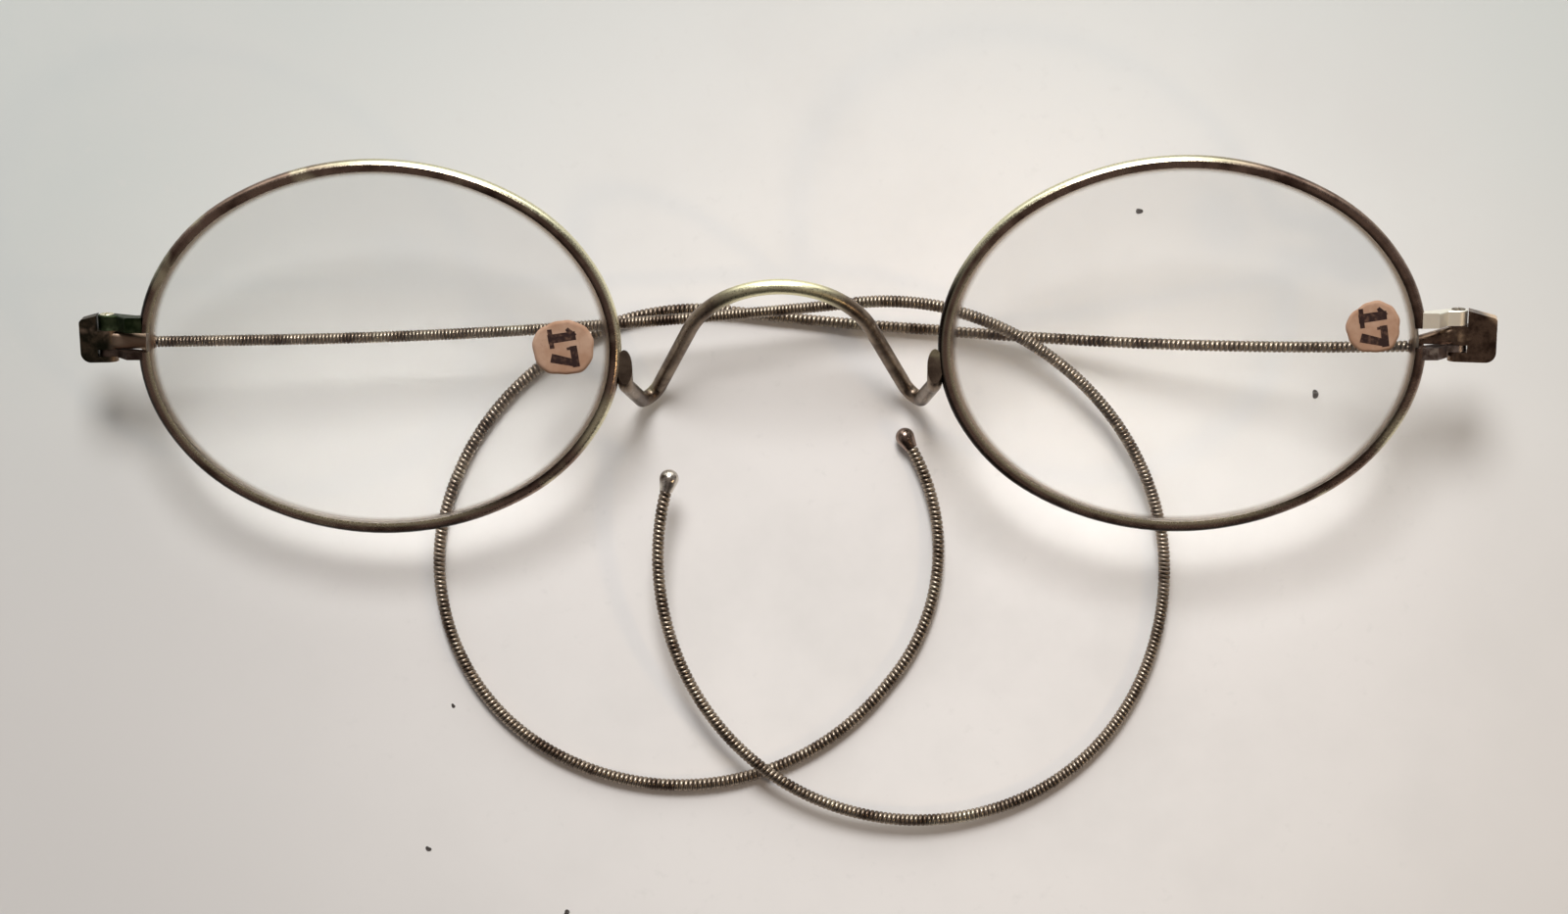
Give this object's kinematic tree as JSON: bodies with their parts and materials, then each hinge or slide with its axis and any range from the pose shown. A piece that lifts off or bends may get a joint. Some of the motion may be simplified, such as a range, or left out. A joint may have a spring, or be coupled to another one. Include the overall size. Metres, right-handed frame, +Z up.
{
  "type": "wire spectacles with riding-bow temples",
  "caption": "Oval-eye wire spectacles with a saddle bridge, split screw-hinge end pieces and coil-wound riding-bow temples, folded flat.",
  "frame": {"origin": "on the table under the middle of the folded spectacles, which lie face up on their bridge cranks and curls", "axes": "+X along the front towards the wearer's left eye, +Y towards the brow edge, +Z up from the table and out of the face of the lenses"},
  "size_m": [0.1158, 0.0552, 0.0142],
  "materials": {
    "eyewire": "worn nickel silver",
    "bridge_wire": "worn nickel silver, rubbed bright",
    "nickel_silver": "worn nickel silver with tarnish",
    "winding": "close-wound fine wire, tarnished",
    "core_steel": "drawn wire",
    "screw_steel": "slotted screw",
    "lens_glass": "clear polished glass",
    "paper": "thin matt paper"
  },
  "bodies": {
    "front": {"rim_left": "eyewire", "rim_right": "eyewire", "lens_left": "lens_glass", "lens_right": "lens_glass", "paper_spot_left": "paper", "paper_spot_right": "paper", "endpiece_upper_left": "nickel_silver", "endpiece_upper_right": "nickel_silver", "endpiece_lower_left": "nickel_silver", "endpiece_lower_right": "nickel_silver", "hinge_screw_left": "screw_steel", "hinge_screw_right": "screw_steel", "bridge": "bridge_wire"},
    "temple_left": {"temple_butt_left": "nickel_silver", "temple_core_left": "core_steel", "shank_winding_left": "winding", "curl_winding_left": "winding", "temple_tip_left": "nickel_silver"},
    "temple_right": {"temple_butt_right": "nickel_silver", "temple_core_right": "core_steel", "shank_winding_right": "winding", "curl_winding_right": "winding", "temple_tip_right": "nickel_silver"}
  },
  "joints": [
    {"name": "left_temple_hinge", "type": "hinge", "parent": "front", "child": "temple_left", "pos_m": [-0.05561, 0.01311, 0.00712], "axis": [-0.0074, 0.9724, 0.2334], "range_deg": [0, 85.4]},
    {"name": "right_temple_hinge", "type": "hinge", "parent": "front", "child": "temple_right", "pos_m": [0.05466, 0.0134, 0.00943], "axis": [0.0074, -0.9724, -0.2334], "range_deg": [0, 78.9]}
  ]
}
